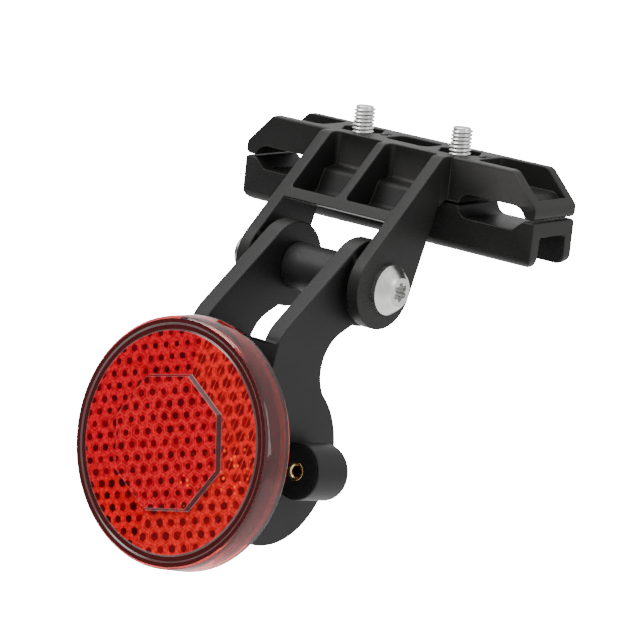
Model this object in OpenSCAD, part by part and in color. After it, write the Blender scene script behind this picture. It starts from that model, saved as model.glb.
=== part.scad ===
// Round reflector on a tilting fork arm, held by a two-jaw clamp on the rails of a bicycle saddle.
// X runs across the bike, -Y is the rear where the reflector faces, Z is up.
// The origin is the centre of the clamp: between the jaws, on the mid-plane and on the screws' plane.

/* [Clamp jaws] */
// Length of both jaws across the saddle rails
bar_l = 100; // [96:1:120]
// Depth of both jaws, front to rear
bar_d = 18; // [17:0.5:22]
// Height of the upper jaw
upper_h = 12; // [11:0.5:15]
// Height of the lower jaw
lower_h = 12.3; // [11:0.1:15]
// Gap between the closed jaws
jaw_gap = 0.4; // [0.3:0.1:1]
// Height and length of the 45 degree slope at each end of the upper jaw
end_slope = 8.5; // [6:0.5:9]
// Thickness of the jaws' long walls
jaw_wall = 3; // [2.4:0.2:4]
// Depth of the three troughs in the upper jaw's top
trough_depth = 6.2; // [4:0.2:6.6]
// Height of the rail slots, half in each jaw
slot_h = 6.4; // [5:0.1:7]
// Distance from the middle of the bar to each rail slot
slot_start = 24.8; // [24:0.2:28]
// Solid lip between each rail slot and the jaw's end
slot_lip = 3.2; // [2.5:0.1:6]
// Thickness of the lower jaw's roof over its open channel
roof_t = 6; // [5.4:0.2:7]

/* [Clamp screws] */
// Thread diameter of the two clamp screws
screw_d = 6; // [5:0.5:6]
// Distance of each clamp screw from the middle
screw_x = 16.8; // [16:0.2:18]
// Length of thread that stands above the upper jaw
screw_out = 6.6; // [3:0.2:12]
// Width across the flats of the clamp nuts
nut_af = 10; // [8:0.5:10]
// Height of the clamp nuts
nut_h = 5; // [4:0.5:5]
// Diameter of the clamp screws' button heads
button_d = 10.5; // [9:0.5:11]
// Height of the clamp screws' button heads
button_h = 3.3; // [2.5:0.1:4]
// How far the screws' heads stand out below the lower jaw
head_out = 0.6; // [0:0.1:1.5]
// Diameter of the clamp washers
washer_d = 12; // [11:0.5:12]
// Thickness of the clamp washers
washer_t = 1.2; // [0.8:0.1:1.6]

/* [Ribs and ears] */
// Distance from the middle to the outer face of each ear
ear_x = 21.2; // [20:0.2:24]
// Thickness of the outer ribs and of the ears
ear_t = 3.8; // [3:0.2:5]
// Thickness of the middle rib
rib_t = 2.8; // [2:0.2:4]
// Level run of the ribs' tops before they slope down
rib_run = 3.6; // [2:0.2:5]
// Thickness of the cross web and of the front wall of the rib pockets
web_t = 2.9; // [2:0.1:3.5]
// Radius of the ears' round ends
ear_r = 11.2; // [10.5:0.1:12]

/* [Pivot] */
// Distance of the tilting pivot behind the clamp screws
pivot_back = 30.6; // [30:0.1:36]
// Distance of the tilting pivot below the parting of the jaws
pivot_drop = 21.7; // [20:0.1:26]
// Diameter of the pivot bolt
pivot_d = 6; // [5:0.5:6]
// Diameter of the pivot bolt's flanged head
flange_d = 13.4; // [12:0.2:15]
// Height of the pivot bolt's head
head_h = 4.4; // [3.4:0.1:5]
// Outer diameter of the spacer sleeve
sleeve_d = 12.8; // [11:0.2:14]
// Number of teeth in each serrated face
tooth_n = 44; // [24:4:48]
// Height of the serrated rings, from their flat to the crests of their teeth
tooth_h = 0.9; // [0.6:0.1:1.2]
// Free play between the facing teeth
mesh_gap = 0.3; // [0.3:0.1:0.6]

/* [Fork arm] */
// Thickness of the fork's two side plates
leg_t = 5.1; // [4:0.1:6]
// Radius of the fork's eyes
eye_r = 11.6; // [11.3:0.1:12.6]
// Radius of the round lower end
disc_r = 22.3; // [21:0.1:24]
// Thickness of the arm's inner web and round wall
arm_wall = 4.5; // [3.5:0.1:6]
// Radius of the two accessory bosses
boss_r = 7.5; // [6:0.1:8.5]
// Length of the accessory bosses
boss_l = 14; // [12:0.5:18]
// Outer diameter of the brass inserts
insert_d = 4.8; // [4.2:0.1:6]
// Length of the brass inserts
insert_l = 6; // [4:0.5:8]

/* [Reflector] */
// Radius of the reflector's front rim
lens_r = 32.4; // [28:0.2:34]
// Depth of the reflector
lens_depth = 8; // [7.5:0.1:10]
// Upward tilt of the reflector in degrees
lens_tilt = 8.7; // [0:0.1:15]
// Turn of the raised octagon about the reflector's axis in degrees
lens_turn = 12.8; // [0:0.2:45]
// Half width of the raised octagon across its flats
oct_half = 16.8; // [12:0.2:20]
// Height of the raised octagon
oct_rise = 1.5; // [1:0.1:3]
// Thickness of the reflector's skirt
skirt_t = 1.6; // [1.2:0.1:2.4]
// Thickness of the reflector's front
front_t = 3; // [2.4:0.1:3.4]
// Thickness of the reflector's back plate
plate_t = 2; // [1.6:0.1:2.4]
// Thread diameter of the reflector's stud
stud_d = 5; // [4:0.5:6]

/* [Hidden] */
$fn = 64;

black = [0.16, 0.155, 0.15];
steel = [0.78, 0.78, 0.8];
brass = [0.72, 0.52, 0.2];
red = [0.82, 0.05, 0.04];
white_nylon = [0.85, 0.85, 0.8];

// Clearances between pieces
run_fit = 0.06;
seat_gap = 0.3;
hole_play = 0.35;
over = 1;

// Heights of the jaws and of what they hold
upper_z = jaw_gap / 2;
top_z = upper_z + upper_h;
lower_z = -jaw_gap / 2;
base_z = lower_z - lower_h;
bar_front = -bar_d / 2;
pocket_af = nut_af + 1;
head_rise = button_h - head_out;
nut_z = upper_z + 4;
seat_z = base_z + head_rise + washer_t + seat_gap;
head_z = base_z + head_rise;
slot_r = slot_h / 2;
slot_end = bar_l / 2 - slot_lip;

// Places of the pivot, its ears and the fork's legs
pivot_y = -pivot_back;
pivot_z = -pivot_drop;
ear_in = ear_x - ear_t;
leg_out = ear_in - 2 * tooth_h - mesh_gap;
leg_in = leg_out - leg_t;
ring_r = sleeve_d / 2 + 1;
slip_t = 1.2;
nyloc_h = 6;
ring_h = 1.4;

// Places in the fork arm, as distances behind and above the pivot. The round ends of ears and
// eyes are centred at round_c, so that more plastic stands behind the bolt than before it.
round_c = [-1, 0.4];
disc_c = [-29.7, -44.3];
knee = [-33.9, -10.2];
shin = [-37.7, -23.7];
throat_c = [-5.7, -22];
throat_r = 10.5;
crotch_front = [-34.4, -12.6];
crotch_rear = [-14.1, -18.3];
lens_c = [-55.7, -39.3];

// Places in the reflector, measured from its front along its axis
web_back = lens_depth + arm_wall;
boss_x = leg_out + 5.5;
boss_y = -2;
boss_face = lens_depth + 18.9;
lens_back_r = lens_r + 0.6;
stud_head_t = 1.6;
stud_washer_t = 1;
stud_nut_h = 5;

// The point at an angle on a circle
function on_circle(c, r, a) = c + r * [cos(a), sin(a)];

// Points along an arc
function arc(c, r, a0, a1, n = 12) = [for (i = [0:n]) on_circle(c, r, a0 + (a1 - a0) * i / n)];

// The point where a line from q touches a circle, on the side that s names with 1 or -1
function touch(q, c, r, s) =
  let (d = q - c, a = atan2(d[1], d[0]) + s * acos(r / norm(d))) on_circle(c, r, a);

// A corner p between the points before and after it, rounded to radius r
function corner(before, p, after, r, n = 6) =
  let (u = (before - p) / norm(before - p), v = (after - p) / norm(after - p),
    half = acos(u * v) / 2, c = p + (u + v) / norm(u + v) * r / sin(half),
    a = p + u * r / tan(half) - c, b = p + v * r / tan(half) - c,
    a0 = atan2(a[1], a[0]), turn = atan2(a[0] * b[1] - a[1] * b[0], a * b))
  r <= 0 ? [p] : arc(c, r, a0, a0 + turn, n);

// A polygon with a radius for each of its corners
function rounded(pts, radii) = [for (i = [0:len(pts) - 1])
  each corner(pts[(i + len(pts) - 1) % len(pts)], pts[i], pts[(i + 1) % len(pts)], radii[i])];

// Draws a side view (Y to the right, Z up) and runs it along X
module along_x(width) { rotate([90, 0, 90]) linear_extrude(width, center = true) children(); }

// Draws a rear view (X to the right, Z up) and runs it along Y
module along_y(depth) { rotate([90, 0, 0]) linear_extrude(depth, center = true) children(); }

// Puts a piece at both clamp screws
module at_screws() { for (s = [-1, 1]) translate([s * screw_x, 0, 0]) children(); }

// The reflector's own frame: its axis is Z and points rearwards, its top is +Y
module at_lens() {
  translate([0, pivot_y + lens_c[0], pivot_z + lens_c[1]]) rotate([90 - lens_tilt, 0, 0]) children();
}

// The plain outline of a jaw seen from the side
module jaw_section(z0, z1, r_top, r_bottom) {
  polygon(rounded([[bar_front, z0], [-bar_front, z0], [-bar_front, z1], [bar_front, z1]],
    [r_bottom, r_bottom, r_top, r_top]));
}

// Rail slot on the +X side: round inner end, curved upper and slanted lower outer end
module rail_slot() {
  arch_r = slot_r + 1;
  arch_x = slot_end - arch_r;
  polygon(concat(arc([slot_start + slot_r, 0], slot_r, 90, 270, 14),
    [[slot_end - slot_r - 0.6, -slot_r], [slot_end, 0]],
    arc([arch_x, slot_r - arch_r], arch_r, 18, 90, 8)));
}

module rail_slots() {
  for (s = [0, 1]) mirror([s, 0, 0]) along_y(bar_d + 2 * over) rail_slot();
}

// Long trough towards each end of the upper jaw's top, its floor following the end slope
module end_trough() {
  start = slot_start + 2.2;
  floor_z = top_z - trough_depth;
  end_x = bar_l / 2;
  slope_x = end_x - end_slope + trough_depth - 3;
  intersection() {
    along_y(bar_d - 2 * jaw_wall) polygon(rounded([[start, top_z + over], [start, floor_z],
      [slope_x, floor_z], [slope_x + 2.1, floor_z - 2.1], [slope_x + 3.5, floor_z - 0.7],
      [end_x + 3, floor_z + 2 + 3], [end_x + 3, top_z + over]], [0, 1.2, 1.5, 0.6, 0, 0, 0]));
    translate([start, bar_front + jaw_wall, 0]) linear_extrude(top_z + 2 * over)
      polygon(rounded([[0, 0], [end_x, 0], [end_x, bar_d - 2 * jaw_wall], [0, bar_d - 2 * jaw_wall]],
        [2, 0, 0, 2]));
  }
}

// Trough between the nut pockets
module mid_trough() {
  half = bar_d / 2 - jaw_wall - 1.6;
  x0 = -screw_x + pocket_af / 2 / cos(30) + 4.6;
  x1 = screw_x - pocket_af / 2 / cos(30) - 2.2;
  translate([0, 0, top_z - trough_depth]) linear_extrude(trough_depth + over)
    polygon(rounded([[x0, -half], [x1, -half], [x1, half], [x0, half]], [2, 2, 2, 2]));
}

// Side view of an outer rib and its ear
module ear_side() {
  pivot = [pivot_y, pivot_z] + round_c;
  top = [bar_front - rib_run, top_z];
  foot = [bar_front - 3.7, upper_z - 1.6];
  front = touch(foot, pivot, ear_r - 0.04, -1);
  rear = touch(top, pivot, ear_r - 0.04, 1);
  polygon(rounded([[bar_front + over, top_z], top, rear, pivot, front, foot,
    [bar_front, upper_z + 0.6], [bar_front + over, upper_z + 0.6]], [0, 2.2, 0, 0, 0, 1.6, 0, 0]));
  translate(pivot) circle(ear_r, $fn = 96);
}

// Side view of the ribbed block between the ears, down to the lower face of its cross web
module block_side() {
  intersection() {
    ear_side();
    polygon([[over, top_z + over], [over, upper_z], [bar_front - 3, web_z() - 4.6],
      [rib_y(web_z()), web_z()], [rib_y(web_z()) - 20, web_z() + 5], [bar_front - 20, top_z + over]]);
  }
}

// The height of the cross web's lower rear edge, and the ribs' rear edge at a height
function web_z() = pivot_z + ear_r + 6.1;
function rib_y(z) =
  let (top = [bar_front - rib_run, top_z], rear = touch(top, [pivot_y, pivot_z] + round_c, ear_r - 0.04, 1))
  rear[0] + (z - rear[1]) * (top[0] - rear[0]) / (top[1] - rear[1]);

// Side view of a rib pocket, open towards the rear and above
module pocket_side() {
  sill = web_z() + web_t * 0.75;
  wall_y = bar_front - 0.6;
  polygon(rounded([[wall_y, top_z + 6], [wall_y, upper_z + 2.6], [bar_front - 4.9, upper_z + 2],
    [bar_front - 4.9 - web_t, web_z()], [rib_y(sill) + 1, sill], [rib_y(sill) - 14, sill + 8],
    [rib_y(sill) - 14, top_z + 6]], [0, 1.2, 1.6, 1.8, 0, 0, 0]));
}

// Rib pocket with rounded corners, seen from above and from the side
module rib_pocket() {
  half = (ear_in - rib_t / 2) / 2;
  back = bar_front - 0.6;
  mouth = rib_y(web_z() + web_t * 0.75);
  intersection() {
    along_x(2 * half) pocket_side();
    translate([0, 0, web_z() - over]) linear_extrude(top_z - web_z() + 3 * over)
      polygon(rounded([[-half, mouth], [half, mouth], [half, back], [-half, back]],
        [1.8, 1.8, 1.5, 1.5]));
  }
}

// Ring of radial teeth that stands on the plane z = 0 and is sunk 0.4 below it
module tooth_ring(r_in, r_out, height) {
  n = 2 * tooth_n;
  root = -0.4;
  ring = [for (i = [0:n - 1]) let (a = 360 * i / n, z = i % 2 == 0 ? height * 0.4 : height)
    [[r_in * cos(a), r_in * sin(a), z], [r_out * cos(a), r_out * sin(a), z],
      [r_out * cos(a), r_out * sin(a), root], [r_in * cos(a), r_in * sin(a), root]]];
  points = [for (station = ring) each station];
  faces = [for (i = [0:n - 1]) let (a = 4 * i, b = 4 * ((i + 1) % n))
    each [[a, a + 1, b + 1], [a, b + 1, b], [a + 1, a + 2, b + 2], [a + 1, b + 2, b + 1],
      [a + 2, a + 3, b + 3], [a + 2, b + 3, b + 2], [a + 3, a, b], [a + 3, b, b + 3]]];
  polyhedron(points, [for (f = faces) [f[2], f[1], f[0]]], convexity = 6);
}

// Hexagonal prism by its width across the flats
module hex(af, h) { cylinder(h, r = af / 2 / cos(30), $fn = 6); }

// Six-lobed driving socket
module star_socket(d, depth) {
  linear_extrude(depth) {
    circle(d * 0.36, $fn = 24);
    for (i = [0:5]) rotate(60 * i) translate([d * 0.36, 0]) circle(d * 0.14, $fn = 16);
  }
}

// Upper casting: top jaw with its troughs and nut pockets, ribbed block, and two serrated ears
module upper_clamp() {
  half = bar_l / 2;
  color(black) difference() {
    union() {
      intersection() {
        along_x(bar_l) jaw_section(upper_z, top_z, 0.8, 0.8);
        along_y(bar_d) polygon(rounded([[-half, upper_z], [half, upper_z], [half, top_z - end_slope],
          [half - end_slope, top_z], [end_slope - half, top_z], [-half, top_z - end_slope]],
          [1.4, 1.4, 2.2, 2.6, 2.6, 2.2]));
      }
      difference() {
        along_x(2 * ear_in + 1) block_side();
        for (s = [-1, 1]) translate([s * (ear_in + rib_t / 2) / 2, 0, 0]) rib_pocket();
      }
      for (s = [-1, 1]) translate([s * (ear_in + ear_t / 2), 0, 0]) along_x(ear_t) ear_side();
      for (s = [-1, 1]) translate([s * ear_in, pivot_y, pivot_z]) rotate([0, -90 * s, 0])
        tooth_ring(ring_r, ear_r - 1.2, tooth_h);
    }
    rail_slots();
    for (s = [0, 1]) mirror([s, 0, 0]) end_trough();
    mid_trough();
    at_screws() {
      translate([0, 0, upper_z - over]) cylinder(upper_h + 2 * over, r = screw_d / 2 + hole_play);
      translate([0, 0, nut_z]) hex(pocket_af, upper_h);
      translate([pocket_af / 2 / cos(30) + 1.4, 0, top_z - 0.6]) linear_extrude(over) for (y = [-1, 1])
        translate([0.5, y]) circle(0.9, $fn = 24);
    }
    translate([-ear_x - over, pivot_y, pivot_z]) rotate([0, 90, 0])
      cylinder(2 * ear_x + 2 * over, r = pivot_d / 2 + 0.15);
  }
}

// Lower jaw: channel open downwards, with a round boss for each clamp screw
module lower_jaw() {
  half = bar_l / 2;
  inner = bar_d / 2 - jaw_wall;
  color(black) difference() {
    intersection() {
      along_x(bar_l) jaw_section(base_z, lower_z, 0.8, 2.6);
      along_y(bar_d) polygon(rounded([[-half, base_z], [half, base_z], [half, lower_z],
        [-half, lower_z]], [2.7, 2.7, 1, 1]));
    }
    difference() {
      intersection() {
        along_x(bar_l + 2 * over) polygon(rounded([[-inner, base_z - over], [inner, base_z - over],
          [inner - 0.4, lower_z - 4], [0.4 - inner, lower_z - 4]], [0, 0, 1, 1]));
        along_y(bar_d) polygon([[-half - over, base_z - over], [half + over, base_z - over],
          [half + over, lower_z - 4.1], [half - slot_lip, lower_z - 4.1],
          [half - slot_lip - 3, lower_z - roof_t], [slot_lip + 3 - half, lower_z - roof_t],
          [slot_lip - half, lower_z - 4.1], [-half - over, lower_z - 4.1]]);
      }
      at_screws() translate([0, 0, seat_z]) cylinder(lower_h, r = washer_d / 2 + 0.8);
    }
    rail_slots();
    at_screws() {
      translate([0, 0, base_z]) cylinder(lower_h + over, r = screw_d / 2 + run_fit);
      translate([0, 0, base_z - over]) cylinder(seat_z - base_z + over, r = washer_d / 2 + seat_gap);
    }
  }
}

// Clamp screw: button head below the lower jaw, thread up through both jaws and the nut
module clamp_screw() {
  color(steel) difference() {
    translate([0, 0, head_z]) union() {
      rotate_extrude() polygon(concat([[0, 0], [button_d / 2, 0]],
        arc([0, -button_h + 0.2], button_d / 2, 20, 0, 1),
        [[button_d / 2 - 0.5, -button_h * 0.5], [button_d / 2 - 1.6, -button_h * 0.85],
          [button_d / 2 - 2.6, -button_h], [0, -button_h]]));
      cylinder(top_z + screw_out - head_z - 0.7, r = screw_d / 2);
      translate([0, 0, top_z + screw_out - head_z - 0.7])
        cylinder(0.7, r1 = screw_d / 2, r2 = screw_d / 2 - 0.6);
    }
    translate([0, 0, head_z - button_h - over]) hex(4, 2.1 + over);
  }
}

// Hexagon nut that the pocket of the upper jaw keeps from turning
module clamp_nut() {
  color(steel) translate([0, 0, nut_z]) difference() {
    hex(nut_af, nut_h);
    translate([0, 0, -over]) cylinder(nut_h + 2 * over, r = screw_d / 2 + run_fit);
  }
}

// Plain washer between a screw's head and the lower jaw
module clamp_washer() {
  color(steel) translate([0, 0, seat_z - washer_t]) difference() {
    cylinder(washer_t, d = washer_d);
    translate([0, 0, -over]) cylinder(washer_t + 2 * over, r = screw_d / 2 + hole_play);
  }
}

// Turns a piece drawn along Z onto the pivot's axis, starting at x and running to -X
module on_pivot(x) { translate([x, pivot_y, pivot_z]) rotate([0, -90, 0]) children(); }

// Pivot bolt: flanged button head on the +X ear, plain shank with its thread in the nut
module pivot_bolt() {
  end_x = ear_x + washer_t + nyloc_h + 1.2;
  color(steel) difference() {
    union() {
      on_pivot(ear_x) translate([0, 0, -head_h]) rotate_extrude() polygon([[0, 0], [flange_d / 2 - 2.9, 0],
        [flange_d / 2 - 2.2, head_h * 0.12], [flange_d / 2 - 1.2, head_h * 0.36],
        [flange_d / 2 - 0.5, head_h * 0.6], [flange_d / 2, head_h * 0.72], [flange_d / 2, head_h],
        [0, head_h]]);
      on_pivot(ear_x + 0.1) cylinder(ear_x + end_x - 0.6, r = pivot_d / 2);
      on_pivot(0.5 - end_x) cylinder(0.5, r1 = pivot_d / 2, r2 = pivot_d / 2 - 0.5);
    }
    translate([ear_x + head_h + over, pivot_y, pivot_z]) rotate([0, -90, 0]) star_socket(5.2, 2.4 + over);
  }
}

// Plain washer under the pivot nut
module pivot_washer() {
  color(steel) on_pivot(-ear_x) difference() {
    cylinder(washer_t, d = washer_d);
    translate([0, 0, -over]) cylinder(washer_t + 2 * over, r = pivot_d / 2 + 0.2);
  }
}

// Body of a self-locking nut: hexagon, round collar, bore, and a seat for the nylon ring
module lock_nut(af, h, bore_r) {
  difference() {
    union() {
      hex(af, h - ring_h - 0.3);
      cylinder(h, d = af - 0.6);
    }
    translate([0, 0, -over]) cylinder(h + 2 * over, r = bore_r);
    translate([0, 0, h - ring_h]) cylinder(ring_h + over, d = af - 2);
  }
}

// Nylon ring that sits in the end of a self-locking nut
module lock_ring(af, h, bore_r) {
  translate([0, 0, h - ring_h]) difference() {
    cylinder(ring_h - 0.2, d = af - 2);
    translate([0, 0, -over]) cylinder(ring_h + 2 * over, r = bore_r);
  }
}

module pivot_nut() {
  color(steel) on_pivot(-ear_x - washer_t) lock_nut(nut_af, nyloc_h, pivot_d / 2 + 0.05);
}

module pivot_nut_ring() {
  color(white_nylon) on_pivot(-ear_x - washer_t) lock_ring(nut_af, nyloc_h, pivot_d / 2 + 0.05);
}

// Spacer sleeve on the pivot bolt between the fork's legs
module spacer_sleeve() {
  color(black) on_pivot(leg_in - slip_t) difference() {
    cylinder(2 * leg_in - slip_t, d = sleeve_d);
    translate([0, 0, -over]) cylinder(2 * leg_in + 2 * over, r = pivot_d / 2 + run_fit);
  }
}

// Steel washer between the sleeve and the +X leg
module sleeve_washer() {
  color(steel) on_pivot(leg_in) difference() {
    cylinder(slip_t, d = sleeve_d + 1.2);
    translate([0, 0, -over]) cylinder(slip_t + 2 * over, r = pivot_d / 2 + run_fit);
  }
}

// Side view of the fork arm, measured from the pivot
module arm_side() {
  start = touch(knee, round_c, eye_r - 0.04, -1);
  front = corner(start, knee, shin, 10, 8);
  difference() {
    union() {
      translate(round_c) circle(eye_r, $fn = 96);
      translate(disc_c) circle(disc_r, $fn = 128);
      polygon(concat([[0, 0], start], front, [shin - [0, 1.5], disc_c, [-13.3, -30.5]],
        arc(throat_c, throat_r, 205, 112, 14), [[-2.2, -9.3]]));
    }
    translate(lens_c) rotate(-lens_tilt) translate([-50, -50]) square([50 + lens_depth, 100]);
  }
}

// Space between the two legs, above the line where they join
module crotch_side() {
  run = crotch_front - crotch_rear;
  polygon([crotch_rear - run, crotch_front + 2 * run, [-80, 40], [20, 40], [20, -10]]);
}

// Hollow of the round end, open towards the front of the bike
module hollow_side() {
  r = disc_r - arm_wall;
  run = crotch_front - crotch_rear;
  drop = [0, arm_wall];
  difference() {
    polygon(concat(arc(disc_c, r, 270, 112, 30), [crotch_front - 0.24 * run - drop - [1, 3],
      crotch_front - 0.24 * run - drop, crotch_rear - run - drop, disc_c + [disc_r + 4, -r]]));
    translate(lens_c) rotate(-lens_tilt) translate([-50, -50]) square([50 + web_back, 100]);
  }
}

// Boss for an accessory screw: a round bar beside the arm with a rounded front end
module boss() {
  round_r = 2.4;
  translate([boss_x, boss_y, -boss_face - boss_l]) rotate_extrude() polygon(concat([[0, 0]],
    arc([boss_r - round_r, round_r], round_r, -90, 0, 6),
    [[boss_r, boss_l - 0.4], [boss_r - 0.4, boss_l], [0, boss_l]]));
}

// Fork arm: two side plates with serrated eyes, joined above and behind the round lower end
module fork_arm() {
  color(black) difference() {
    union() {
      translate([0, pivot_y, pivot_z]) difference() {
        along_x(2 * leg_out) arm_side();
        along_x(2 * leg_in) crotch_side();
        along_x(2 * leg_in) hollow_side();
      }
      for (s = [-1, 1]) translate([s * leg_out, pivot_y, pivot_z]) rotate([0, 90 * s, 0])
        tooth_ring(ring_r, ear_r - 1.2, tooth_h);
      at_lens() for (s = [0, 1]) mirror([s, 0, 0]) boss();
    }
    translate([-leg_out - 2 * over, pivot_y, pivot_z]) rotate([0, 90, 0])
      cylinder(2 * leg_out + 4 * over, r = pivot_d / 2 + run_fit);
    at_lens() {
      translate([0, 0, -web_back - over]) cylinder(arm_wall + 2 * over, r = stud_d / 2 + 0.2);
      for (s = [-1, 1]) translate([s * boss_x, boss_y, -boss_face - insert_l])
        cylinder(insert_l + over, d = insert_d);
    }
  }
}

// Brass threaded insert, moulded flush into a boss
module insert() {
  color(brass) at_lens() translate([boss_x, boss_y, -boss_face - insert_l]) difference() {
    cylinder(insert_l, d = insert_d);
    translate([0, 0, -over]) cylinder(insert_l + 2 * over, d = insert_d - 1.8);
    translate([0, 0, insert_l - 0.4]) cylinder(0.5, r1 = insert_d / 2 - 0.9, r2 = insert_d / 2 - 0.4);
  }
}

// Moulded lens: thick front with a raised octagon, and a skirt round the edge
module reflector_lens() {
  inner = lens_r - skirt_t;
  color(red) at_lens() union() {
    rotate_extrude($fn = 128) polygon([[0, 0], [lens_r - 0.8, 0], [lens_r - 0.2, -0.3], [lens_r, -0.9],
      [lens_back_r, -lens_depth], [lens_back_r - skirt_t, -lens_depth], [inner, -front_t], [0, -front_t]]);
    rotate([0, 0, lens_turn + 22.5]) translate([0, 0, -0.2])
      cylinder(oct_rise + 0.2, r1 = (oct_half + 0.5) / cos(22.5), r2 = oct_half / cos(22.5), $fn = 8);
  }
}

// Back plate that closes the lens and holds the stud's head
module reflector_back() {
  rim_r = lens_back_r - skirt_t - 0.15;
  color(black) at_lens() difference() {
    union() {
      translate([0, 0, -lens_depth]) cylinder(plate_t, r = rim_r - 0.05, $fn = 128);
      translate([0, 0, -lens_depth]) cylinder(plate_t + 0.6, d = stud_d + 9);
    }
    translate([0, 0, -lens_depth - over]) cylinder(plate_t + 3, r = stud_d / 2 + 0.1);
    translate([0, 0, -lens_depth + plate_t - 0.4]) hex(stud_d + 3.1, 3);
  }
}

// Stud: a hexagon head held in the back plate, and a thread through the arm's web
module reflector_stud() {
  length = plate_t - 0.4 + arm_wall + stud_washer_t + stud_nut_h + 1.4;
  top = -lens_depth + plate_t - 0.4;
  color(steel) at_lens() union() {
    translate([0, 0, top]) hex(stud_d + 3, stud_head_t);
    translate([0, 0, top - length + 0.5]) cylinder(length, d = stud_d);
    translate([0, 0, top - length]) cylinder(0.5, d1 = stud_d - 1, d2 = stud_d);
  }
}

// Places a piece drawn along Z behind the arm's web, facing the front of the bike
module behind_web(gap) {
  at_lens() translate([0, 0, -web_back - gap]) rotate([180, 0, 0]) children();
}

module stud_washer() {
  color(steel) behind_web(0) difference() {
    cylinder(stud_washer_t, d = 2 * stud_d);
    translate([0, 0, -over]) cylinder(stud_washer_t + 2 * over, r = stud_d / 2 + 0.15);
  }
}

module stud_nut() {
  color(steel) behind_web(stud_washer_t) lock_nut(stud_d + 3, stud_nut_h, stud_d / 2 + 0.05);
}

module stud_nut_ring() {
  color(white_nylon) behind_web(stud_washer_t) lock_ring(stud_d + 3, stud_nut_h, stud_d / 2 + 0.05);
}

upper_clamp();
lower_jaw();
translate([-screw_x, 0, 0]) clamp_screw();  // clamp_screw_left
translate([screw_x, 0, 0]) clamp_screw();  // clamp_screw_right
translate([-screw_x, 0, 0]) clamp_nut();  // clamp_nut_left
translate([screw_x, 0, 0]) clamp_nut();  // clamp_nut_right
translate([-screw_x, 0, 0]) clamp_washer();  // clamp_washer_left
translate([screw_x, 0, 0]) clamp_washer();  // clamp_washer_right
pivot_bolt();
pivot_washer();
pivot_nut();
pivot_nut_ring();
spacer_sleeve();
sleeve_washer();
fork_arm();
mirror([1, 0, 0]) insert();  // insert_left
insert();  // insert_right
reflector_lens();
reflector_back();
reflector_stud();
stud_washer();
stud_nut();
stud_nut_ring();
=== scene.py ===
import bpy
import bmesh
from math import atan2, cos, degrees, pi, radians, sin, sqrt, tan
from mathutils import Matrix, Vector
from mathutils.bvhtree import BVHTree


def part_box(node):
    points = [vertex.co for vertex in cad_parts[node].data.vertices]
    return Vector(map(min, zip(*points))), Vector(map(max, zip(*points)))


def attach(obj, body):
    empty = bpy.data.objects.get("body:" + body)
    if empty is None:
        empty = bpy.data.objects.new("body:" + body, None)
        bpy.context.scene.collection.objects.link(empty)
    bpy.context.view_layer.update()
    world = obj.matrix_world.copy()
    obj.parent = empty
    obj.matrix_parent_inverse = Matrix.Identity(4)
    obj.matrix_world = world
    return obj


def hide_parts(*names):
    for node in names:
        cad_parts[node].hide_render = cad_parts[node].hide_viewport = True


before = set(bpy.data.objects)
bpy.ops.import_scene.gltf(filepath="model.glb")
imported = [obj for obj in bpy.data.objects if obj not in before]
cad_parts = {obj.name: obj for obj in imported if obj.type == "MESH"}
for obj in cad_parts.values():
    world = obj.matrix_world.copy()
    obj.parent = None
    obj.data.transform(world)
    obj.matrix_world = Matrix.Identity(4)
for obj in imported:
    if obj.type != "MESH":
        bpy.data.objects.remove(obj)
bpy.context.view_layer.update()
MM = 0.001

# ---------------------------------------------------------------------------------------------
# The studio: white all round, with large soft lamps and a dark card to the camera's left, which
# the reflector's face mirrors, as in the photograph.
# The camera stands behind the saddle, to the right and a little above, and is rolled slightly.
camera_data = bpy.data.cameras.new("studio_camera")
camera_data.sensor_width = 36
camera_data.lens = 180.2
camera_data.clip_start = 0.05
camera = bpy.data.objects.new("studio_camera", camera_data)
to_right = Vector((0.7600, 0.6420, 0.1019)).normalized()
backwards = Vector((0.6142, -0.7606, 0.2105)).normalized()
upwards = backwards.cross(to_right).normalized()
to_right = upwards.cross(backwards)
camera.matrix_world = (Matrix.Translation((0.5222, -0.6774, 0.1444))
                       @ Matrix((to_right, upwards, backwards)).transposed().to_4x4())
bpy.context.scene.collection.objects.link(camera)
bpy.context.scene.camera = camera

world = bpy.data.worlds.new("studio_air")
world.use_nodes = True
air, wires = world.node_tree.nodes, world.node_tree.links
air["Background"].inputs["Color"].default_value = (1, 1, 1, 1)
seen = air.new("ShaderNodeLightPath")
strength = air.new("ShaderNodeMapRange")
strength.inputs["To Min"].default_value = 1.3
strength.inputs["To Max"].default_value = 24.0
wires.new(seen.outputs["Is Camera Ray"], strength.inputs["Value"])
wires.new(strength.outputs["Result"], air["Background"].inputs["Strength"])
bpy.context.scene.world = world


def soft_lamp(name, place, aim, width, height, watts, colour=(1, 1, 1)):
    """A rectangular soft box at a place, turned to face a point."""
    data = bpy.data.lights.new(name, "AREA")
    data.shape = "RECTANGLE"
    data.size = width
    data.size_y = height
    data.energy = watts
    data.color = colour
    lamp = bpy.data.objects.new(name, data)
    lamp.location = place
    lamp.rotation_euler = (Vector(aim) - Vector(place)).to_track_quat("-Z", "Y").to_euler()
    bpy.context.scene.collection.objects.link(lamp)


soft_lamp("overhead_box", (-0.15, -0.1, 0.75), (0, -0.03, -0.03), 0.7, 0.5, 6.0)
soft_lamp("left_box", (-0.45, -0.62, 0.72), (0, -0.05, -0.05), 0.5, 0.4, 5.0)
soft_lamp("right_box", (0.75, 0.1, 0.25), (0, -0.03, -0.03), 0.3, 0.6, 2.0)



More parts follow.
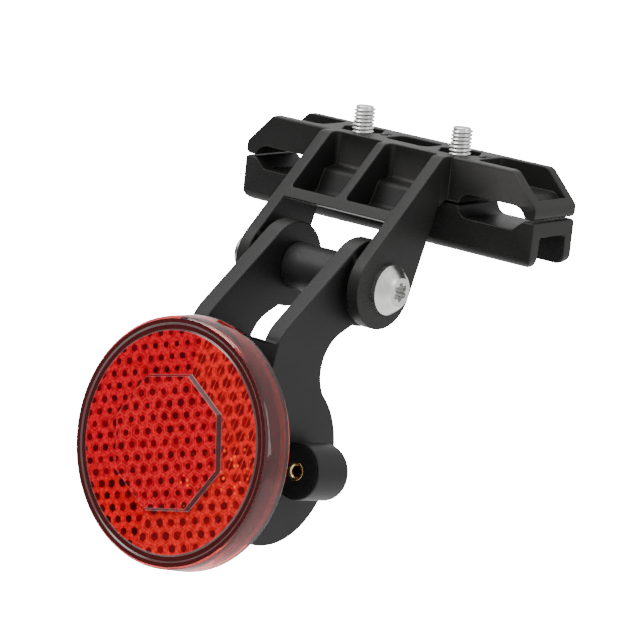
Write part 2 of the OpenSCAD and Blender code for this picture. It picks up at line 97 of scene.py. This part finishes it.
def white_paper():
    """Matt white paper, lit from behind where the camera sees it."""
    paper = bpy.data.materials.new("white_paper")
    paper.use_nodes = True
    sheet, joins = paper.node_tree.nodes, paper.node_tree.links
    sheet["Principled BSDF"].inputs["Base Color"].default_value = (0.9, 0.9, 0.9, 1)
    sheet["Principled BSDF"].inputs["Roughness"].default_value = 0.9
    glow = sheet.new("ShaderNodeEmission")
    glow.inputs["Strength"].default_value = 24.0
    ray = sheet.new("ShaderNodeLightPath")
    backlit = sheet.new("ShaderNodeMixShader")
    joins.new(ray.outputs["Is Camera Ray"], backlit.inputs["Fac"])
    joins.new(sheet["Principled BSDF"].outputs["BSDF"], backlit.inputs[1])
    joins.new(glow.outputs["Emission"], backlit.inputs[2])
    joins.new(backlit.outputs["Shader"], sheet["Material Output"].inputs["Surface"])
    return paper


def studio_sheet(name, size, turn, place, material):
    """A flat square sheet of the studio."""
    mesh = bpy.data.meshes.new(name)
    shape = bmesh.new()
    bmesh.ops.create_grid(shape, x_segments=1, y_segments=1, size=size)
    bmesh.ops.transform(shape, matrix=Matrix.Translation(place) @ turn, verts=shape.verts)
    shape.to_mesh(mesh)
    shape.free()
    mesh.materials.append(material)
    sheet = bpy.data.objects.new(name, mesh)
    bpy.context.scene.collection.objects.link(sheet)
    return sheet


floor = studio_sheet("floor", 6, Matrix(), (0, 0, -0.3), white_paper())
dark_cloth = bpy.data.materials.new("dark_cloth")
dark_cloth.use_nodes = True
dark_cloth.node_tree.nodes["Principled BSDF"].inputs["Base Color"].default_value = (0.03, 0.03, 0.03, 1)
dark_cloth.node_tree.nodes["Principled BSDF"].inputs["Roughness"].default_value = 1
card_place = Vector((-0.70, -0.99, -0.02))
card_turn = Vector((0.614, 0.789, -0.027)).to_track_quat("Z", "Y").to_matrix().to_4x4()
card = studio_sheet("dark_card", 0.5, card_turn, card_place, dark_cloth)
card.visible_camera = False

# ---------------------------------------------------------------------------------------------
# The upper jaw, with its ribbed block and its two ears, is one moulding of black glass-filled
# nylon. It comes from a steel mould with a fine spark texture, and its edges are slightly eased.
EDGE = 0.32 * MM


def moulded_black(name, base, fine):
    """Black moulded nylon: spark texture, faint flow clouds and a painted highlight that makes the
    edges paler.
    """
    material = bpy.data.materials.new(name)
    material.use_nodes = True
    nodes, links = material.node_tree.nodes, material.node_tree.links
    skin = nodes["Principled BSDF"]
    skin.inputs["Specular IOR Level"].default_value = 0.2
    place = nodes.new("ShaderNodeTexCoord")
    clouds = nodes.new("ShaderNodeTexNoise")
    clouds.inputs["Scale"].default_value = 60
    clouds.inputs["Detail"].default_value = 3
    links.new(place.outputs["Object"], clouds.inputs["Vector"])
    grain = nodes.new("ShaderNodeTexNoise")
    grain.inputs["Scale"].default_value = fine
    grain.inputs["Detail"].default_value = 4
    grain.inputs["Roughness"].default_value = 0.65
    links.new(place.outputs["Object"], grain.inputs["Vector"])
    tone = nodes.new("ShaderNodeValToRGB")
    tone.color_ramp.elements[0].position = 0.3
    tone.color_ramp.elements[0].color = [v * 0.86 for v in base] + [1]
    tone.color_ramp.elements[1].position = 0.75
    tone.color_ramp.elements[1].color = [v * 1.2 for v in base] + [1]
    links.new(clouds.outputs["Fac"], tone.inputs["Fac"])
    # Painted highlight: where edges are sharp, the base colour turns up to six times paler, standing in
    # for light caught along them.
    edges = nodes.new("ShaderNodeNewGeometry")
    painted_edge_highlight = nodes.new("ShaderNodeMapRange")
    painted_edge_highlight.inputs["From Min"].default_value = 0.53
    painted_edge_highlight.inputs["From Max"].default_value = 0.61
    painted_edge_highlight.inputs["To Max"].default_value = 0.8
    links.new(edges.outputs["Pointiness"], painted_edge_highlight.inputs["Value"])
    mix = nodes.new("ShaderNodeMix")
    mix.data_type = "RGBA"
    links.new(painted_edge_highlight.outputs["Result"], mix.inputs["Factor"])
    links.new(tone.outputs["Color"], mix.inputs["A"])
    mix.inputs["B"].default_value = [v * 6 for v in base] + [1]
    links.new(mix.outputs["Result"], skin.inputs["Base Color"])
    rough = nodes.new("ShaderNodeMapRange")
    rough.inputs["To Min"].default_value = 0.36
    rough.inputs["To Max"].default_value = 0.52
    links.new(clouds.outputs["Fac"], rough.inputs["Value"])
    links.new(rough.outputs["Result"], skin.inputs["Roughness"])
    bump = nodes.new("ShaderNodeBump")
    bump.inputs["Strength"].default_value = 0.35
    bump.inputs["Distance"].default_value = 0.00006
    links.new(grain.outputs["Fac"], bump.inputs["Height"])
    links.new(bump.outputs["Normal"], skin.inputs["Normal"])
    return material


def eased_copy(node, name, material, edge=EDGE, segments=2):
    """The node's own shape with its sharp edges rounded and nothing beyond its own surface."""
    shape = bmesh.new()
    shape.from_mesh(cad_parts[node].data)
    bmesh.ops.remove_doubles(shape, verts=shape.verts, dist=2e-6)
    skin = BVHTree.FromBMesh(shape)
    bmesh.ops.join_triangles(shape, faces=shape.faces, angle_face_threshold=radians(0.5),
                             angle_shape_threshold=radians(60))
    sharp = [e for e in shape.edges if e.is_manifold and e.calc_face_angle() > radians(28)]
    bmesh.ops.bevel(shape, geom=sharp, offset=edge, offset_type="OFFSET", segments=segments,
                    profile=0.5, affect="EDGES", clamp_overlap=False)
    for spot in shape.verts:
        nearest, facing, _, gap = skin.find_nearest(spot.co)
        if gap > 0.35 * edge or (gap > 2e-6 and (spot.co - nearest).dot(facing) > 0.5 * gap):
            spot.co = nearest
    mesh = bpy.data.meshes.new(name)
    shape.to_mesh(mesh)
    shape.free()
    mesh.materials.append(material)
    for face in mesh.polygons:
        face.material_index = 0
        face.use_smooth = True
    piece = bpy.data.objects.new(name, mesh)
    bpy.context.scene.collection.objects.link(piece)
    shading = piece.modifiers.new("flat faces", "WEIGHTED_NORMAL")
    shading.mode = "FACE_AREA"
    shading.weight = 100
    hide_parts(node)
    return piece


jaw_black = moulded_black("jaw_nylon", (0.0075, 0.0073, 0.007), 3800)
upper_jaw = eased_copy("upper_clamp", "upper_jaw_moulding", jaw_black)
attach(upper_jaw, "clamp")

# ---------------------------------------------------------------------------------------------
# The lower jaw is a channel of the same black nylon, open below, with a round boss inside for
# each screw. Its outer lower edges are rounded in the mould.
lower_jaw = eased_copy("lower_jaw", "lower_jaw_moulding", jaw_black)
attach(lower_jaw, "lower_jaw")

# ---------------------------------------------------------------------------------------------
# The fork arm is a third moulding of the black nylon: two legs with serrated eyes that join in a
# round hollow end, and a boss on each side for an accessory.
arm_black = moulded_black("arm_nylon", (0.007, 0.0068, 0.0067), 3600)
fork_arm = eased_copy("fork_arm", "fork_arm_moulding", arm_black, 0.45 * MM)
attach(fork_arm, "arm")

# ---------------------------------------------------------------------------------------------
# The clamp screws are zinc-plated M6 button heads with a rolled thread and a hexagon socket. They
# pass up through both jaws, and their plain ends stand above the upper one.
SCREW_X = 16.8 * MM


def plated_steel(name, base, rough, brushed=(1, 1, 1)):
    """Bright zinc plating: fine tool lines, soft cloudy stains and a slightly uneven gloss."""
    material = bpy.data.materials.new(name)
    material.use_nodes = True
    nodes, links = material.node_tree.nodes, material.node_tree.links
    skin = nodes["Principled BSDF"]
    skin.inputs["Metallic"].default_value = 1.0
    place = nodes.new("ShaderNodeTexCoord")
    stretch = nodes.new("ShaderNodeMapping")
    stretch.inputs["Scale"].default_value = brushed
    links.new(place.outputs["Object"], stretch.inputs["Vector"])
    lines = nodes.new("ShaderNodeTexNoise")
    lines.inputs["Scale"].default_value = 900
    lines.inputs["Detail"].default_value = 4
    links.new(stretch.outputs["Vector"], lines.inputs["Vector"])
    stain = nodes.new("ShaderNodeTexNoise")
    stain.inputs["Scale"].default_value = 260
    stain.inputs["Detail"].default_value = 3
    links.new(place.outputs["Object"], stain.inputs["Vector"])
    tone = nodes.new("ShaderNodeValToRGB")
    tone.color_ramp.elements[0].position = 0.25
    tone.color_ramp.elements[0].color = [v * 0.72 for v in base] + [1]
    tone.color_ramp.elements[1].position = 0.7
    tone.color_ramp.elements[1].color = list(base) + [1]
    links.new(stain.outputs["Fac"], tone.inputs["Fac"])
    links.new(tone.outputs["Color"], skin.inputs["Base Color"])
    gloss = nodes.new("ShaderNodeMapRange")
    gloss.inputs["To Min"].default_value = rough * 0.75
    gloss.inputs["To Max"].default_value = rough * 1.4
    links.new(stain.outputs["Fac"], gloss.inputs["Value"])
    links.new(gloss.outputs["Result"], skin.inputs["Roughness"])
    bump = nodes.new("ShaderNodeBump")
    bump.inputs["Strength"].default_value = 0.25
    bump.inputs["Distance"].default_value = 0.00003
    links.new(lines.outputs["Fac"], bump.inputs["Height"])
    links.new(bump.outputs["Normal"], skin.inputs["Normal"])
    return material


def rolled_thread(radius, pitch, start, end, steps=28):
    """A thread along Z from start to end, its tip turned down over the last half millimetre."""
    shape = bmesh.new()
    root = radius - 0.61 * pitch
    turns = int((end - start) / pitch) + 3
    path = [(root, 0.0), (root, 0.12), (radius, 0.46), (radius, 0.58), (root, 0.92), (root, 1.0)]
    spots = [shape.verts.new((r, 0, start - pitch + z * pitch)) for r, z in path]
    edges = [shape.edges.new(pair) for pair in zip(spots, spots[1:])]
    bmesh.ops.spin(shape, geom=spots + edges, cent=(0, 0, 0), axis=(0, 0, 1),
                   dvec=(0, 0, pitch / steps), angle=2 * pi * turns, steps=steps * turns)
    bmesh.ops.remove_doubles(shape, verts=shape.verts, dist=2e-6)
    for height, up in ((start, -1), (end, 1)):
        cut = bmesh.ops.bisect_plane(shape, geom=shape.verts[:] + shape.edges[:] + shape.faces[:],
                                     plane_co=(0, 0, height), plane_no=(0, 0, up),
                                     clear_outer=True)
        rim = [g for g in cut["geom_cut"] if isinstance(g, bmesh.types.BMEdge)]
        bmesh.ops.edgeloop_fill(shape, edges=rim)
    for spot in shape.verts:
        over = spot.co.z - (end - 0.75 * MM)
        reach = sqrt(spot.co.x ** 2 + spot.co.y ** 2)
        if over > 0 and reach > radius - over:
            spot.co.x *= (radius - over) / reach
            spot.co.y *= (radius - over) / reach
    bmesh.ops.recalc_face_normals(shape, faces=shape.faces)
    return shape


def add_piece(name, shape, material, smooth_angle=35):
    """Makes the finished shape an object of one material, smooth up to an angle."""
    mesh = bpy.data.meshes.new(name)
    shape.to_mesh(mesh)
    shape.free()
    mesh.materials.append(material)
    for face in mesh.polygons:
        face.use_smooth = True
    mesh.set_sharp_from_angle(angle=radians(smooth_angle))
    piece = bpy.data.objects.new(name, mesh)
    bpy.context.scene.collection.objects.link(piece)
    return piece


def keep_part(node, point, outward):
    """The node's shape, joined, less all that lies beyond a plane, with the cut closed."""
    shape = bmesh.new()
    shape.from_mesh(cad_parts[node].data)
    bmesh.ops.remove_doubles(shape, verts=shape.verts, dist=2e-6)
    bmesh.ops.dissolve_limit(shape, angle_limit=radians(0.6), verts=shape.verts,
                             edges=shape.edges)
    cut = bmesh.ops.bisect_plane(shape, geom=shape.verts[:] + shape.edges[:] + shape.faces[:],
                                 plane_co=point, plane_no=outward, clear_outer=True)
    rim = [g for g in cut["geom_cut"] if isinstance(g, bmesh.types.BMEdge)]
    bmesh.ops.edgeloop_fill(shape, edges=rim)
    return shape


def join_shapes(first, second):
    """Adds the second closed shape to the first one's."""
    carrier = bpy.data.meshes.new("carrier")
    second.to_mesh(carrier)
    second.free()
    first.from_mesh(carrier)
    bpy.data.meshes.remove(carrier)


screw_zinc = plated_steel("screw_zinc", (0.66, 0.66, 0.65), 0.28, (1, 1, 6))
for side, screw_x in (("left", -SCREW_X), ("right", SCREW_X)):
    node = "clamp_screw_" + side
    low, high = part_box(node)
    head = keep_part(node, (screw_x, 0, low[2] + 4.2 * MM), (0, 0, 1))
    thread = rolled_thread(3.0 * MM, 1.0 * MM, low[2] + 3.4 * MM, high[2])
    bmesh.ops.translate(thread, verts=thread.verts, vec=(screw_x, 0, 0))
    join_shapes(head, thread)
    screw = add_piece("threaded_clamp_screw_" + side, head, screw_zinc)
    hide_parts(node)
    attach(screw, "screw_" + side)

# ---------------------------------------------------------------------------------------------
# Each clamp nut is a plain zinc-plated M6 hexagon, turned from bar, with its corners chamfered.
# It drops into a six-sided pocket of the upper jaw, which keeps it from turning.
nut_zinc = plated_steel("nut_zinc", (0.5, 0.5, 0.49), 0.32)
for side in ("left", "right"):
    nut = eased_copy("clamp_nut_" + side, "hexagon_nut_" + side, nut_zinc, 0.35 * MM)
    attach(nut, "clamp")

# ---------------------------------------------------------------------------------------------
# The plain washers are stamped from steel strip and zinc plated, so one edge is a little round.
# One lies under each screw's head and one under the pivot nut.
washer_zinc = plated_steel("washer_zinc", (0.52, 0.52, 0.51), 0.3)
for node, body in (("clamp_washer_left", "lower_jaw"), ("clamp_washer_right", "lower_jaw"),
                   ("pivot_washer", "clamp"), ("stud_washer", "arm"), ("sleeve_washer", "arm")):
    washer = eased_copy(node, node + "_stamped", washer_zinc, 0.15 * MM)
    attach(washer, body)

# ---------------------------------------------------------------------------------------------
# The pivot bolt is a plated M6 button head with a wide flange and a six-lobed socket. It is
# pushed through both ears, the fork's eyes and the sleeve, and its thread ends in the lock nut.
bolt_zinc = plated_steel("bolt_zinc", (0.68, 0.68, 0.67), 0.26, (3, 1, 1))
low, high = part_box("pivot_bolt")
axis_y, axis_z = (low[1] + high[1]) / 2, (low[2] + high[2]) / 2
bolt = keep_part("pivot_bolt", (low[0] + 8 * MM, 0, 0), (-1, 0, 0))
thread = rolled_thread(3.0 * MM, 1.0 * MM, -low[0] - 8.5 * MM, -low[0])
bmesh.ops.rotate(thread, verts=thread.verts, cent=(0, 0, 0), matrix=Matrix.Rotation(-pi / 2, 3, "Y"))
bmesh.ops.translate(thread, verts=thread.verts, vec=(0, axis_y, axis_z))
join_shapes(bolt, thread)
pivot_bolt = add_piece("flanged_pivot_bolt", bolt, bolt_zinc, 22)
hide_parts("pivot_bolt")
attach(pivot_bolt, "clamp")

# ---------------------------------------------------------------------------------------------
# The lock nuts are zinc-plated hexagons with a rolled collar that holds a ring of milky nylon.
# The ring grips the thread, so that neither the pivot nor the reflector works loose.
ring_nylon = bpy.data.materials.new("ring_nylon")
ring_nylon.use_nodes = True
milk = ring_nylon.node_tree.nodes["Principled BSDF"]
milk.inputs["Base Color"].default_value = (0.62, 0.63, 0.6, 1)
milk.inputs["Roughness"].default_value = 0.4
milk.inputs["Subsurface Weight"].default_value = 0.3
milk.inputs["Subsurface Scale"].default_value = 0.001
cloud = ring_nylon.node_tree.nodes.new("ShaderNodeTexNoise")
cloud.inputs["Scale"].default_value = 1500
swell = ring_nylon.node_tree.nodes.new("ShaderNodeBump")
swell.inputs["Strength"].default_value = 0.2
swell.inputs["Distance"].default_value = 0.00003
where = ring_nylon.node_tree.nodes.new("ShaderNodeTexCoord")
ring_nylon.node_tree.links.new(where.outputs["Object"], cloud.inputs["Vector"])
ring_nylon.node_tree.links.new(cloud.outputs["Fac"], swell.inputs["Height"])
ring_nylon.node_tree.links.new(swell.outputs["Normal"], milk.inputs["Normal"])
for end, body in (("pivot", "clamp"), ("stud", "arm")):
    lock_nut = eased_copy(end + "_nut", end + "_lock_nut", nut_zinc, 0.3 * MM)
    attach(lock_nut, body)
    grip = eased_copy(end + "_nut_ring", end + "_nylon_ring", ring_nylon, 0.15 * MM)
    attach(grip, body)

# ---------------------------------------------------------------------------------------------
# The spacer sleeve is a cut length of black plastic tube with a smoother skin than the castings.
# It keeps the fork's legs apart when the pivot bolt is drawn tight.
sleeve_black = moulded_black("sleeve_plastic", (0.012, 0.012, 0.012), 5200)
sleeve = eased_copy("spacer_sleeve", "sleeve_tube", sleeve_black, 0.3 * MM)
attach(sleeve, "arm")

# ---------------------------------------------------------------------------------------------
# The brass inserts are turned, with an internal M3 thread, and are moulded into the bosses with
# their bright faces flush.
insert_brass = plated_steel("insert_brass", (0.74, 0.5, 0.22), 0.24)
for side in ("left", "right"):
    insert = eased_copy("insert_" + side, "brass_insert_" + side, insert_brass, 0.12 * MM)
    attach(insert, "arm")

# ---------------------------------------------------------------------------------------------
# The reflector's lens is moulded in clear red acrylic: a polished front with a raised octagon, and
# a clear skirt. Cube-corner prisms, six-sided and in sectors, cover its back and fill it with
# bright cells that have dark centres; in places orange glints are painted in. A groove goes round
# them, and it and the octagon's walls are painted dark maroon as shade.
LENS_TILT = radians(8.7)
LENS_TURN = radians(12.8)
FIELD_TURN = radians(17)
LENS_R = 32.4 * MM
LENS_BACK_R = 33.0 * MM
LENS_DEEP = 8.0 * MM
FIELD_R = 28.6 * MM
OCTAGON = 16.8 * MM
OCTAGON_RISE = 1.5 * MM
lens_place = (Matrix.Translation((0, -86.3 * MM, -61.0 * MM))
              @ Matrix.Rotation(pi / 2 - LENS_TILT, 4, "X"))


def clear_red(name, tint, rough=0.02):
    """Clear red acrylic with faint flow waves on its polished face."""
    material = bpy.data.materials.new(name)
    material.use_nodes = True
    nodes, links = material.node_tree.nodes, material.node_tree.links
    skin = nodes["Principled BSDF"]
    skin.inputs["Base Color"].default_value = tint
    skin.inputs["Roughness"].default_value = rough
    skin.inputs["IOR"].default_value = 1.49
    skin.inputs["Transmission Weight"].default_value = 1.0
    place = nodes.new("ShaderNodeTexCoord")
    waves = nodes.new("ShaderNodeTexNoise")
    waves.inputs["Scale"].default_value = 130
    waves.inputs["Detail"].default_value = 1
    links.new(place.outputs["Object"], waves.inputs["Vector"])
    bump = nodes.new("ShaderNodeBump")
    bump.inputs["Strength"].default_value = 0.15
    bump.inputs["Distance"].default_value = 0.0001
    links.new(waves.outputs["Fac"], bump.inputs["Height"])
    links.new(bump.outputs["Normal"], skin.inputs["Normal"])
    return material


def scale_loop(shape, spots, factor, rise):
    """Moves a loop of points in or out about the lens's axis, and along it."""
    bmesh.ops.scale(shape, vec=(factor, factor, 1), verts=spots)
    bmesh.ops.translate(shape, vec=(0, 0, rise), verts=spots)


def grow_loop(shape, edges, factor, rise):
    """Extrudes a loop of edges, then scales and raises the new one, whose edges are returned."""
    made = bmesh.ops.extrude_edge_only(shape, edges=edges)["geom"]
    spots = [g for g in made if isinstance(g, bmesh.types.BMVert)]
    scale_loop(shape, spots, factor, rise)
    return [g for g in made if isinstance(g, bmesh.types.BMEdge)
            and g.verts[0] in spots and g.verts[1] in spots and len(g.link_faces) == 1]


def prism_red(name, pitch, spot, bright, dark, split, line, glint):
    """The prisms seen through the polished front: a grid of six-sided cells with dark centres, and
    painted orange glints around the glint spot if one is given.
    """
    material = bpy.data.materials.new(name)
    material.use_nodes = True
    nodes, links = material.node_tree.nodes, material.node_tree.links

    def sum_of(kind, operation, *values):
        """One math node; a value is another node's output or a constant."""
        step = nodes.new(kind)
        step.operation = operation
        for socket, value in zip(step.inputs, values):
            if isinstance(value, bpy.types.NodeSocket):
                links.new(value, socket)
            else:
                socket.default_value = value
        return step.outputs["Value" if kind == "ShaderNodeMath" or operation in
                            ("DOT_PRODUCT", "LENGTH", "DISTANCE") else "Vector"]

    def band(value, low, high):
        """0 below the low value, 1 above the high one, and soft between them."""
        step = nodes.new("ShaderNodeMapRange")
        step.interpolation_type = "SMOOTHSTEP"
        step.inputs["From Min"].default_value = low
        step.inputs["From Max"].default_value = high
        links.new(value, step.inputs["Value"])
        return step.outputs["Result"]

    def blend(factor, first, second):
        """Two colours or places mixed by a factor."""
        step = nodes.new("ShaderNodeMix")
        step.data_type = "RGBA"
        links.new(factor, step.inputs["Factor"])
        for socket, value in ((step.inputs["A"], first), (step.inputs["B"], second)):
            if isinstance(value, bpy.types.NodeSocket):
                links.new(value, socket)
            else:
                socket.default_value = list(value) + [1]
        return step.outputs["Result"]

    vector, number = "ShaderNodeVectorMath", "ShaderNodeMath"
    place = nodes.new("ShaderNodeTexCoord")
    level = nodes.new("ShaderNodeMapping")
    level.vector_type = "TEXTURE"
    level.inputs["Location"].default_value = lens_place.translation
    level.inputs["Rotation"].default_value = (pi / 2 - LENS_TILT, 0, 0)
    links.new(place.outputs["Object"], level.inputs["Vector"])
    flat = sum_of(vector, "MULTIPLY", level.outputs["Vector"], (1, 1, 0))
    turned = nodes.new("ShaderNodeMapping")
    turned.vector_type = "TEXTURE"
    turned.inputs["Rotation"].default_value = (0, 0, FIELD_TURN)
    turned.inputs["Scale"].default_value = (pitch, pitch, pitch)
    links.new(flat, turned.inputs["Vector"])
    half = (0.5, sqrt(3) / 2, 0.5)
    less = (-0.5, -sqrt(3) / 2, -0.5)
    first = sum_of(vector, "WRAP", turned.outputs["Vector"], half, less)
    shifted = sum_of(vector, "ADD", turned.outputs["Vector"], (0.5, sqrt(3) / 2, 0))
    second = sum_of(vector, "WRAP", shifted, half, less)
    nearer = sum_of(number, "LESS_THAN", sum_of(vector, "LENGTH", second),
                    sum_of(vector, "LENGTH", first))
    cell = blend(nearer, first, second)
    size = sum_of(vector, "ABSOLUTE", cell)
    across = nodes.new("ShaderNodeSeparateXYZ")
    links.new(size, across.inputs["Vector"])
    slanted = sum_of(vector, "DOT_PRODUCT", size, (0.5, sqrt(3) / 2, 0))
    out = sum_of(number, "MAXIMUM", across.outputs["X"], slanted)
    clouds = nodes.new("ShaderNodeTexNoise")
    clouds.inputs["Scale"].default_value = 260
    clouds.inputs["Detail"].default_value = 2
    links.new(place.outputs["Object"], clouds.inputs["Vector"])
    wander = sum_of(number, "MULTIPLY_ADD", clouds.outputs["Fac"], 0.24, -0.12)
    edge = sum_of(number, "ADD", out, wander)
    flecks = nodes.new("ShaderNodeTexVoronoi")
    flecks.inputs["Scale"].default_value = 900
    links.new(place.outputs["Object"], flecks.inputs["Vector"])
    facet = blend(band(flecks.outputs["Distance"], 0.15, 0.75), bright,
                  [v * 0.55 for v in bright])
    seam = blend(band(out, 0.455, 0.495), facet, line)
    core = sum_of(number, "SUBTRACT", 1.0, band(edge, spot - 0.05, spot + 0.05))
    patches = nodes.new("ShaderNodeTexNoise")
    patches.inputs["Scale"].default_value = 170
    patches.inputs["Detail"].default_value = 1
    links.new(place.outputs["Object"], patches.inputs["Vector"])
    strong = band(patches.outputs["Fac"], 0.3, 0.6)
    core = sum_of(number, "MULTIPLY", core, sum_of(number, "MULTIPLY_ADD", strong, 0.26, 0.72))
    if split:
        slit = sum_of(vector, "DOT_PRODUCT", cell, (0.87, -0.5, 0))
        core = sum_of(number, "MULTIPLY", core,
                      band(sum_of(number, "ABSOLUTE", slit), 0.02, 0.07))
    spotted = blend(core, seam, dark)
    # Painted glints: orange streaks painted into the base colour around a given spot, standing in for
    # light that the prisms throw back.
    if glint:
        near = sum_of(vector, "DISTANCE", flat, glint)
        here = sum_of(number, "SUBTRACT", 1.0, band(near, 0.002, 0.011))
        streaks = nodes.new("ShaderNodeTexVoronoi")
        streaks.inputs["Scale"].default_value = 520
        links.new(place.outputs["Object"], streaks.inputs["Vector"])
        lit = sum_of(number, "SUBTRACT", 1.0, band(streaks.outputs["Distance"], 0.12, 0.3))
        spotted = blend(sum_of(number, "MULTIPLY", here, lit), spotted, (0.95, 0.085, 0.004))
    skin = nodes["Principled BSDF"]
    links.new(spotted, skin.inputs["Base Color"])
    skin.inputs["Roughness"].default_value = 0.45
    skin.inputs["Specular IOR Level"].default_value = 0.0
    skin.inputs["Coat Weight"].default_value = 1.0
    skin.inputs["Coat Roughness"].default_value = 0.02
    relief = nodes.new("ShaderNodeBump")
    relief.inputs["Strength"].default_value = 0.4
    relief.inputs["Distance"].default_value = 0.0003
    links.new(out, relief.inputs["Height"])
    links.new(relief.outputs["Normal"], skin.inputs["Normal"])
    return material


lens = bmesh.new()
bmesh.ops.create_circle(lens, segments=128, radius=FIELD_R)
field_rim = lens.edges[:]
ring = field_rim
profile = [(FIELD_R, 0), (FIELD_R + 0.25 * MM, -0.35 * MM), (30.2 * MM, -0.35 * MM),
           (30.5 * MM, 0), (31.6 * MM, 0), (32.15 * MM, -0.25 * MM), (LENS_R, -0.8 * MM),
           (LENS_BACK_R, -LENS_DEEP), (LENS_BACK_R - 1.3 * MM, -LENS_DEEP),
           (30.9 * MM, -2.6 * MM), (30.2 * MM, -1.6 * MM)]
for (r0, z0), (r1, z1) in zip(profile, profile[1:]):
    ring = grow_loop(lens, ring, r1 / r0, z1 - z0)
bmesh.ops.edgeloop_fill(lens, edges=ring)
# Material 6 on the groove band is a dark maroon painted shade.
for face in lens.faces:
    middle = face.calc_center_median()
    if FIELD_R < middle.to_2d().length < 31.7 * MM and middle.z > -0.5 * MM:
        face.material_index = 6
corner_r = (OCTAGON + 0.5 * MM) / cos(pi / 8)
raised = bmesh.ops.create_circle(lens, segments=8, radius=corner_r)["verts"]
bmesh.ops.rotate(lens, verts=raised, cent=(0, 0, 0),
                 matrix=Matrix.Rotation(LENS_TURN + pi / 8, 3, "Z"))
sides = list({edge for spot in raised for edge in spot.link_edges})
split = bmesh.ops.subdivide_edges(lens, edges=sides, cuts=15)["geom"]
base_rim = [e for e in lens.edges if len(e.link_faces) == 0]
front = bmesh.ops.bridge_loops(lens, edges=field_rim + base_rim)["faces"]
first_corner = degrees(LENS_TURN) + 67.5
for face in front:
    middle = face.calc_center_median()
    turn = (degrees(atan2(middle.y, middle.x)) - first_corner) % 360
    face.material_index = 1 if turn < 135 else 2 if turn < 180 else 3 if turn < 270 else 4
front_faces = set(lens.faces)
top_rim = grow_loop(lens, base_rim, OCTAGON / (OCTAGON + 0.5 * MM), OCTAGON_RISE)
# The octagon's walls take the same dark maroon painted shade.
for face in set(lens.faces) - front_faces:
    face.material_index = 6
top = bmesh.ops.edgeloop_fill(lens, edges=top_rim)["faces"]
top[0].material_index = 5
bmesh.ops.recalc_face_normals(lens, faces=lens.faces)
bmesh.ops.transform(lens, matrix=lens_place, verts=lens.verts)
lens_red = clear_red("lens_acrylic", (0.78, 0.05, 0.04, 1))
lens_piece = add_piece("red_lens", lens, lens_red, 24)
vivid, warm = (0.56, 0.0008, 0.011), (0.66, 0.01, 0.011)
for name, pitch, spot, bright, dark, split, line, glint in (
        ("prisms_upper_left", 3.6, 0.225, vivid, (0.03, 0.0008, 0.0025), False, vivid, None),
        ("prisms_lower_left", 3.6, 0.28, (0.66, 0.0008, 0.006), (0.014, 0.0006, 0.001), False,
         vivid, None),
        ("prisms_lower_right", 3.9, 0.25, warm, (0.09, 0.003, 0.005), False, warm,
         (0.021, -0.004, 0)),
        ("prisms_right", 3.95, 0.31, warm, (0.11, 0.004, 0.006), True, warm,
         (0.021, -0.001, 0)),
        ("prisms_middle", 3.75, 0.225, vivid, (0.045, 0.0015, 0.003), False, (0.6, 0.016, 0.018),
         (0.0125, -0.009, 0))):
    lens_piece.data.materials.append(prism_red(name, pitch * MM, spot, bright, dark, split, line,
                                               glint))
# Painted shade: a dark maroon that stands in for the darkness seen through the clear acrylic around the
# prisms and in the octagon's walls.
groove_painted_shade = bpy.data.materials.new("lens_groove_painted_shade")
groove_painted_shade.use_nodes = True
depth = groove_painted_shade.node_tree.nodes["Principled BSDF"]
depth.inputs["Base Color"].default_value = (0.05, 0.006, 0.006, 1)
depth.inputs["Roughness"].default_value = 0.12
depth.inputs["Coat Weight"].default_value = 0.6
lens_piece.data.materials.append(groove_painted_shade)
rounding = lens_piece.modifiers.new("polished edges", "BEVEL")
rounding.width = 0.18 * MM
rounding.segments = 2
rounding.limit_method = "ANGLE"
rounding.angle_limit = radians(25)
rounding.harden_normals = True
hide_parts("reflector_lens")
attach(lens_piece, "arm")

# ---------------------------------------------------------------------------------------------
# The back plate is a flat disc of grey plastic, welded into the skirt. It closes the prisms in
# and holds the hexagon head of the stud.
plate_grey = moulded_black("plate_plastic", (0.09, 0.085, 0.085), 3000)
plate = eased_copy("reflector_back", "welded_back_plate", plate_grey, 0.25 * MM)
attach(plate, "arm")

# ---------------------------------------------------------------------------------------------
# The stud is a plated M5 screw whose head sits in the back plate. Its thread comes through the
# arm's web and takes the washer and the small lock nut.
stud_zinc = plated_steel("stud_zinc", (0.58, 0.58, 0.57), 0.28)
stud = eased_copy("reflector_stud", "plated_stud", stud_zinc, 0.2 * MM)
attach(stud, "arm")
